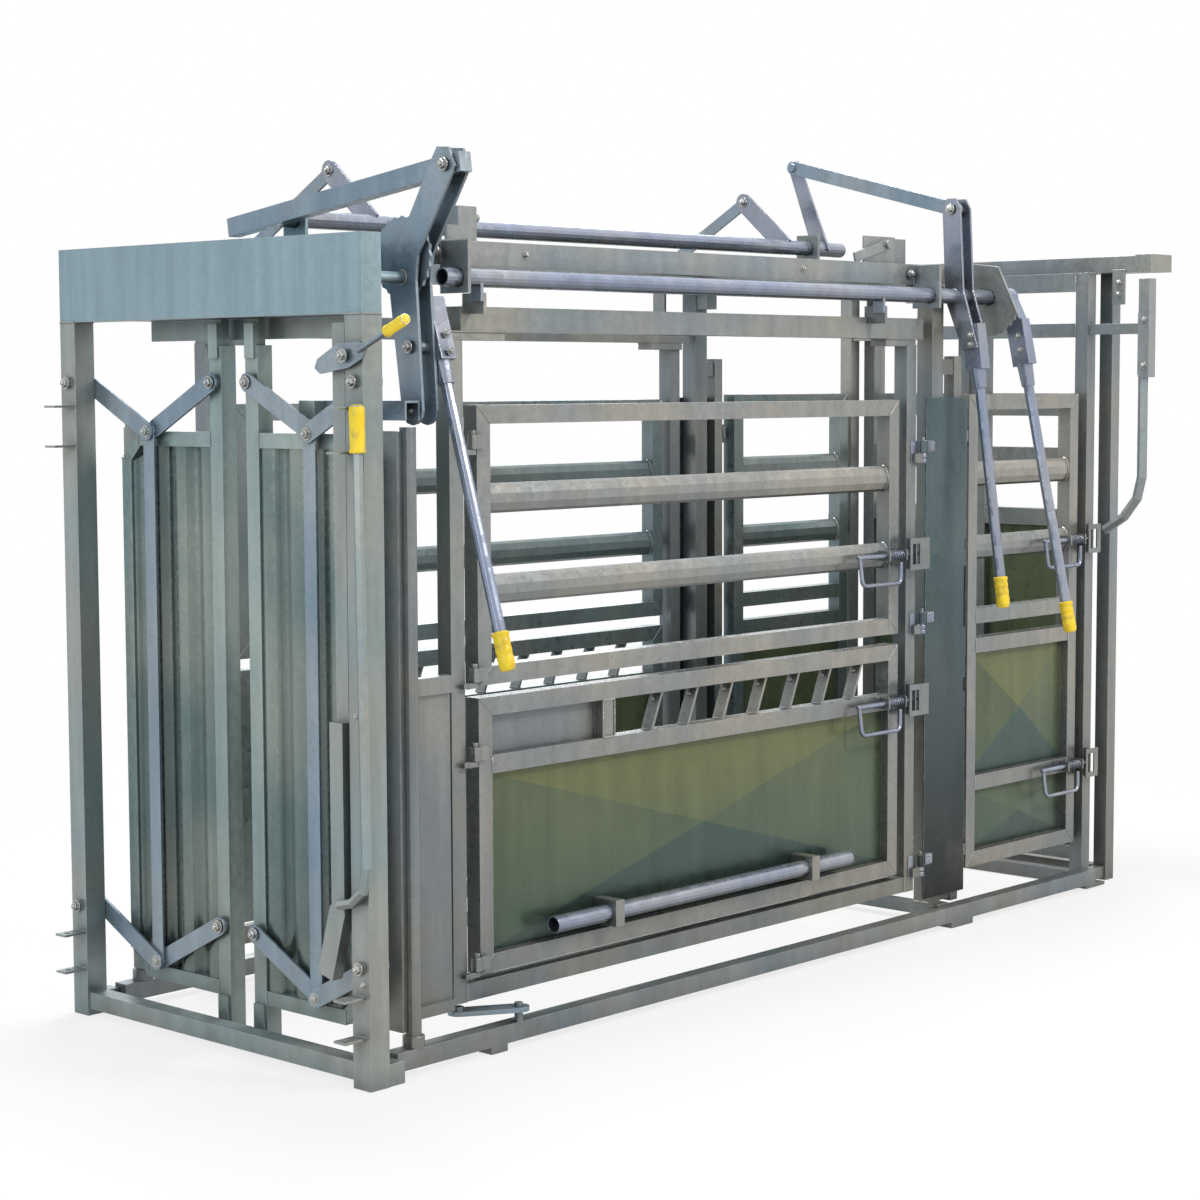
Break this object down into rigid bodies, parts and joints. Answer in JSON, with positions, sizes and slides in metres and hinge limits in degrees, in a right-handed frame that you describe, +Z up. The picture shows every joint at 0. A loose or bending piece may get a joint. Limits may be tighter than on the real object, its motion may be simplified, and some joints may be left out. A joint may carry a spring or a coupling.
{
  "type": "cattle crush",
  "caption": "Manual cattle crush with a sliding head bail, parallel squeeze sides with split doors, vet gates, a rear sliding gate and hand levers on pipe sockets.",
  "frame": {"origin": "middle of the bounding box at ground level", "axes": "+X from the head bail to the rear gate, -Y is the operator side with the levers, +Z up"},
  "size_m": [3.737, 1.6048, 2.522],
  "materials": {
    "galvanised_steel": "hot-dip galvanised steel section, blue-grey spangle, matt",
    "galvanised_sheet": "pre-galvanised sheet, even blue-grey",
    "bright_zinc": "zinc-plated pipe and bar, brighter than the frame",
    "yellow_grip": "soft yellow moulded grip"
  },
  "bodies": {
    "frame": {"head_bail_frame": "galvanised_steel", "head_bail_quadrant": "galvanised_steel", "base_frame": "galvanised_steel", "middle_portal": "galvanised_steel", "top_beam_near": "galvanised_steel", "top_beam_far": "galvanised_steel", "rear_frame": "galvanised_steel"},
    "leaf_near": {"head_bail_leaf_near": "galvanised_steel", "drive_channel": "galvanised_steel"},
    "leaf_far": {"head_bail_leaf_far": "galvanised_steel"},
    "toggle_outer_top_near": {"toggle_outer_top_near": "galvanised_steel"},
    "toggle_inner_top_near": {"toggle_inner_top_near": "galvanised_steel"},
    "toggle_outer_top_far": {"toggle_outer_top_far": "galvanised_steel"},
    "toggle_inner_top_far": {"toggle_inner_top_far": "galvanised_steel"},
    "toggle_outer_bottom_near": {"toggle_outer_bottom_near": "galvanised_steel"},
    "toggle_inner_bottom_near": {"toggle_inner_bottom_near": "galvanised_steel"},
    "toggle_outer_bottom_far": {"toggle_outer_bottom_far": "galvanised_steel"},
    "toggle_inner_bottom_far": {"toggle_inner_bottom_far": "galvanised_steel"},
    "knee_bar_near": {"knee_bar_near": "galvanised_steel"},
    "knee_bar_far": {"knee_bar_far": "galvanised_steel"},
    "bail_crank": {"head_bail_crank": "galvanised_steel", "head_bail_lever": "galvanised_steel", "head_bail_lever_grip": "yellow_grip"},
    "crank_link": {"crank_link": "galvanised_steel"},
    "lock_cam_lever": {"lock_cam_lever": "galvanised_steel"},
    "push_bar": {"push_bar": "galvanised_steel"},
    "squeeze_near": {"squeeze_tube_near": "bright_zinc", "squeeze_lever": "galvanised_steel", "squeeze_lever_grip": "yellow_grip"},
    "squeeze_centre": {"squeeze_tube_centre": "bright_zinc"},
    "squeeze_cross_link": {"squeeze_cross_link": "galvanised_steel"},
    "v_link_front": {"v_link_front": "galvanised_steel"},
    "v_link_rear": {"v_link_rear": "galvanised_steel"},
    "side_frame_near": {"side_frame_near": "galvanised_steel"},
    "side_frame_far": {"side_frame_far": "galvanised_steel"},
    "upper_door_near": {"upper_door_near": "galvanised_steel", "latch_spring_upper": "bright_zinc"},
    "lower_door_near": {"lower_door_near": "galvanised_steel", "rump_pipe_near": "bright_zinc", "latch_spring_lower": "bright_zinc"},
    "upper_door_far": {"upper_door_far": "galvanised_steel"},
    "lower_door_far": {"lower_door_far": "galvanised_steel"},
    "latch_bolt_upper": {"latch_bolt_upper": "bright_zinc"},
    "latch_bolt_lower": {"latch_bolt_lower": "bright_zinc"},
    "latch_bolt_vet_upper": {"latch_bolt_vet_upper": "bright_zinc"},
    "latch_bolt_vet_lower": {"latch_bolt_vet_lower": "bright_zinc"},
    "vet_gate_near": {"vet_gate_near": "galvanised_steel", "latch_spring_vet_upper": "bright_zinc", "latch_spring_vet_lower": "bright_zinc"},
    "vet_gate_far": {"vet_gate_far": "galvanised_steel"},
    "front_filler_near": {"front_filler_near": "galvanised_steel"},
    "rear_filler_near": {"rear_filler_near": "galvanised_sheet"},
    "rear_gate_near": {"rear_gate_near": "galvanised_steel"},
    "front_filler_far": {"front_filler_far": "galvanised_steel"},
    "rear_filler_far": {"rear_filler_far": "galvanised_sheet"},
    "rear_gate_far": {"rear_gate_far": "galvanised_steel"},
    "swing_link_near": {"swing_link_near": "galvanised_steel"},
    "gate_lever": {"gate_lever": "galvanised_steel", "gate_lever_grip": "yellow_grip"},
    "rear_gate_handle": {"rear_gate_handle": "galvanised_steel"}
  },
  "joints": [
    {"name": "head_bail_swing", "type": "hinge", "parent": "frame", "child": "bail_crank", "pos_m": [-1.5575, -0.49409, 2.045], "axis": [-1, 0, 0], "range_deg": [-5, 45]},
    {"name": "toggle_outer_top_near_pivot", "type": "hinge", "parent": "frame", "child": "toggle_outer_top_near", "pos_m": [-1.728, -0.54659, 1.783], "axis": [-1, 0, 0], "range_deg": [-4, 33]},
    {"name": "toggle_inner_top_near_knee", "type": "hinge", "parent": "toggle_outer_top_near", "child": "toggle_inner_top_near", "pos_m": [-1.7112, -0.28859, 1.65058], "axis": [-1, 0, 0], "range_deg": [-66, 8]},
    {"name": "toggle_outer_bottom_near_pivot", "type": "hinge", "parent": "frame", "child": "toggle_outer_bottom_near", "pos_m": [-1.728, -0.54659, 0.312], "axis": [-1, 0, 0], "range_deg": [-4, 33]},
    {"name": "toggle_inner_bottom_near_knee", "type": "hinge", "parent": "toggle_outer_bottom_near", "child": "toggle_inner_bottom_near", "pos_m": [-1.7112, -0.28859, 0.17958], "axis": [-1, 0, 0], "range_deg": [-66, 8]},
    {"name": "knee_bar_near_top", "type": "hinge", "parent": "toggle_outer_top_near", "child": "knee_bar_near", "pos_m": [-1.7196, -0.28859, 1.65058], "axis": [-1, 0, 0], "range_deg": [-33, 4]},
    {"name": "leaf_near_hang", "type": "hinge", "parent": "toggle_inner_top_near", "child": "leaf_near", "pos_m": [-1.6955, -0.03059, 1.783], "axis": [-1, 0, 0], "range_deg": [-4, 33]},
    {"name": "toggle_outer_top_far_pivot", "type": "hinge", "parent": "frame", "child": "toggle_outer_top_far", "pos_m": [-1.728, 0.63541, 1.783], "axis": [1, 0, 0], "range_deg": [-4, 33]},
    {"name": "toggle_inner_top_far_knee", "type": "hinge", "parent": "toggle_outer_top_far", "child": "toggle_inner_top_far", "pos_m": [-1.7112, 0.37741, 1.65058], "axis": [1, 0, 0], "range_deg": [-66, 8]},
    {"name": "toggle_outer_bottom_far_pivot", "type": "hinge", "parent": "frame", "child": "toggle_outer_bottom_far", "pos_m": [-1.728, 0.63541, 0.312], "axis": [1, 0, 0], "range_deg": [-4, 33]},
    {"name": "toggle_inner_bottom_far_knee", "type": "hinge", "parent": "toggle_outer_bottom_far", "child": "toggle_inner_bottom_far", "pos_m": [-1.7112, 0.37741, 0.17958], "axis": [1, 0, 0], "range_deg": [-66, 8]},
    {"name": "knee_bar_far_top", "type": "hinge", "parent": "toggle_outer_top_far", "child": "knee_bar_far", "pos_m": [-1.7196, 0.37741, 1.65058], "axis": [1, 0, 0], "range_deg": [-33, 4]},
    {"name": "leaf_far_hang", "type": "hinge", "parent": "toggle_inner_top_far", "child": "leaf_far", "pos_m": [-1.6955, 0.11941, 1.783], "axis": [1, 0, 0], "range_deg": [-4, 33]},
    {"name": "crank_link_pivot", "type": "hinge", "parent": "bail_crank", "child": "crank_link", "pos_m": [-1.5575, -0.65559, 2.32], "axis": [-1, 0, 0], "range_deg": [-45, 5]},
    {"name": "lock_cam_pivot", "type": "hinge", "parent": "frame", "child": "lock_cam_lever", "pos_m": [-1.8085, -0.53059, 1.847], "axis": [1, 0, 0], "range_deg": [-25, 25]},
    {"name": "push_bar_slide", "type": "slide", "parent": "frame", "child": "push_bar", "axis": [0, 0, 1], "range_m": [-0.05, 0.015]},
    {"name": "squeeze_swing", "type": "hinge", "parent": "frame", "child": "squeeze_near", "pos_m": [0.8065, -0.51909, 2.05], "axis": [-1, 0, 0], "range_deg": [0, 20]},
    {"name": "squeeze_centre_turn", "type": "hinge", "parent": "frame", "child": "squeeze_centre", "pos_m": [-1.5235, 0.04441, 2.222], "axis": [-1, 0, 0], "range_deg": [0, 25]},
    {"name": "squeeze_cross_link_pivot", "type": "hinge", "parent": "squeeze_near", "child": "squeeze_cross_link", "pos_m": [0.8365, -0.50609, 2.328], "axis": [-1, 0, 0], "range_deg": [-16, 0]},
    {"name": "v_link_front_pivot", "type": "hinge", "parent": "squeeze_centre", "child": "v_link_front", "pos_m": [-1.1801, 0.22441, 2.378], "axis": [-1, 0, 0], "range_deg": [-37, 0]},
    {"name": "v_link_rear_pivot", "type": "hinge", "parent": "squeeze_centre", "child": "v_link_rear", "pos_m": [0.6599, 0.22441, 2.378], "axis": [-1, 0, 0], "range_deg": [-37, 0]},
    {"name": "side_near_slide", "type": "slide", "parent": "frame", "child": "side_frame_near", "axis": [0, -1, 0], "range_m": [0, 0.092]},
    {"name": "side_far_slide", "type": "slide", "parent": "frame", "child": "side_frame_far", "axis": [0, 1, 0], "range_m": [0, 0.092]},
    {"name": "rear_filler_near_hinge", "type": "hinge", "parent": "side_frame_near", "child": "rear_filler_near", "pos_m": [0.6865, -0.48909, 0.913], "axis": [0, 0, 1], "range_deg": [0, 24]},
    {"name": "front_filler_near_turn", "type": "hinge", "parent": "frame", "child": "front_filler_near", "pos_m": [-1.5985, -0.52409, 0.8], "axis": [0, 0, -1], "range_deg": [0, 32]},
    {"name": "upper_door_near_hinge", "type": "hinge", "parent": "side_frame_near", "child": "upper_door_near", "pos_m": [-1.3335, -0.48909, 1.35], "axis": [0, 0, -1], "range_deg": [0, 95]},
    {"name": "lower_door_near_hinge", "type": "hinge", "parent": "side_frame_near", "child": "lower_door_near", "pos_m": [-1.3335, -0.48909, 0.57], "axis": [0, 0, -1], "range_deg": [0, 95]},
    {"name": "vet_gate_near_hinge", "type": "hinge", "parent": "frame", "child": "vet_gate_near", "pos_m": [0.9435, -0.47059, 0.95], "axis": [0, 0, -1], "range_deg": [0, 30]},
    {"name": "rear_filler_far_hinge", "type": "hinge", "parent": "side_frame_far", "child": "rear_filler_far", "pos_m": [0.6865, 0.57791, 0.913], "axis": [0, 0, -1], "range_deg": [0, 24]},
    {"name": "front_filler_far_turn", "type": "hinge", "parent": "frame", "child": "front_filler_far", "pos_m": [-1.5985, 0.61291, 0.8], "axis": [0, 0, 1], "range_deg": [0, 32]},
    {"name": "upper_door_far_hinge", "type": "hinge", "parent": "side_frame_far", "child": "upper_door_far", "pos_m": [-1.3335, 0.57791, 1.35], "axis": [0, 0, 1], "range_deg": [0, 95]},
    {"name": "lower_door_far_hinge", "type": "hinge", "parent": "side_frame_far", "child": "lower_door_far", "pos_m": [-1.3335, 0.57791, 0.57], "axis": [0, 0, 1], "range_deg": [0, 95]},
    {"name": "vet_gate_far_hinge", "type": "hinge", "parent": "frame", "child": "vet_gate_far", "pos_m": [0.9435, 0.55941, 0.95], "axis": [0, 0, 1], "range_deg": [0, 95]},
    {"name": "swing_link_near_turn", "type": "hinge", "parent": "frame", "child": "swing_link_near", "pos_m": [-1.2285, -0.54109, 0.106], "axis": [0, 0, 1], "range_deg": [0, 35]},
    {"name": "latch_bolt_upper_slide", "type": "slide", "parent": "upper_door_near", "child": "latch_bolt_upper", "axis": [-1, 0, 0], "range_m": [0, 0.075]},
    {"name": "latch_bolt_lower_slide", "type": "slide", "parent": "lower_door_near", "child": "latch_bolt_lower", "axis": [-1, 0, 0], "range_m": [0, 0.075]},
    {"name": "latch_bolt_vet_upper_slide", "type": "slide", "parent": "vet_gate_near", "child": "latch_bolt_vet_upper", "axis": [-1, 0, 0], "range_m": [0, 0.06]},
    {"name": "latch_bolt_vet_lower_slide", "type": "slide", "parent": "vet_gate_near", "child": "latch_bolt_vet_lower", "axis": [-1, 0, 0], "range_m": [0, 0.06]},
    {"name": "gate_lever_swing", "type": "hinge", "parent": "frame", "child": "gate_lever", "pos_m": [1.1065, -0.51909, 2.05], "axis": [-1, 0, 0], "range_deg": [0, 45]},
    {"name": "rear_gate_near_slide", "type": "slide", "parent": "frame", "child": "rear_gate_near", "axis": [0, -1, 0], "range_m": [0, 0.301]},
    {"name": "rear_gate_far_slide", "type": "slide", "parent": "frame", "child": "rear_gate_far", "axis": [0, 1, 0], "range_m": [0, 0.301]},
    {"name": "rear_gate_handle_pivot", "type": "hinge", "parent": "frame", "child": "rear_gate_handle", "pos_m": [1.6765, -0.71159, 1.956], "axis": [0, 1, 0], "range_deg": [-3, 12]}
  ],
  "couplings": [
    {"joint": "toggle_outer_top_near_pivot", "follows": "head_bail_swing", "ratio": 0.7331},
    {"joint": "toggle_inner_top_near_knee", "follows": "head_bail_swing", "ratio": -1.4662},
    {"joint": "toggle_outer_bottom_near_pivot", "follows": "head_bail_swing", "ratio": 0.7331},
    {"joint": "toggle_inner_bottom_near_knee", "follows": "head_bail_swing", "ratio": -1.4662},
    {"joint": "knee_bar_near_top", "follows": "head_bail_swing", "ratio": -0.7331},
    {"joint": "leaf_near_hang", "follows": "head_bail_swing", "ratio": 0.7331},
    {"joint": "toggle_outer_top_far_pivot", "follows": "head_bail_swing", "ratio": 0.7331},
    {"joint": "toggle_inner_top_far_knee", "follows": "head_bail_swing", "ratio": -1.4662},
    {"joint": "toggle_outer_bottom_far_pivot", "follows": "head_bail_swing", "ratio": 0.7331},
    {"joint": "toggle_inner_bottom_far_knee", "follows": "head_bail_swing", "ratio": -1.4662},
    {"joint": "knee_bar_far_top", "follows": "head_bail_swing", "ratio": -0.7331},
    {"joint": "leaf_far_hang", "follows": "head_bail_swing", "ratio": 0.7331},
    {"joint": "crank_link_pivot", "follows": "head_bail_swing", "ratio": -1},
    {"joint": "squeeze_centre_turn", "follows": "squeeze_swing", "ratio": 1.22},
    {"joint": "squeeze_cross_link_pivot", "follows": "squeeze_swing", "ratio": -0.79},
    {"joint": "v_link_front_pivot", "follows": "squeeze_swing", "ratio": -1.8},
    {"joint": "v_link_rear_pivot", "follows": "squeeze_swing", "ratio": -1.8},
    {"joint": "side_near_slide", "follows": "squeeze_swing", "m_per_rad": 0.262},
    {"joint": "side_far_slide", "follows": "squeeze_swing", "m_per_rad": 0.262},
    {"joint": "rear_filler_near_hinge", "follows": "squeeze_swing", "ratio": 1.15},
    {"joint": "front_filler_near_turn", "follows": "squeeze_swing", "ratio": 1.58},
    {"joint": "rear_filler_far_hinge", "follows": "squeeze_swing", "ratio": 1.15},
    {"joint": "front_filler_far_turn", "follows": "squeeze_swing", "ratio": 1.58},
    {"joint": "swing_link_near_turn", "follows": "squeeze_swing", "ratio": 1.7},
    {"joint": "rear_gate_near_slide", "follows": "gate_lever_swing", "m_per_rad": 0.382},
    {"joint": "rear_gate_far_slide", "follows": "gate_lever_swing", "m_per_rad": 0.382}
  ]
}
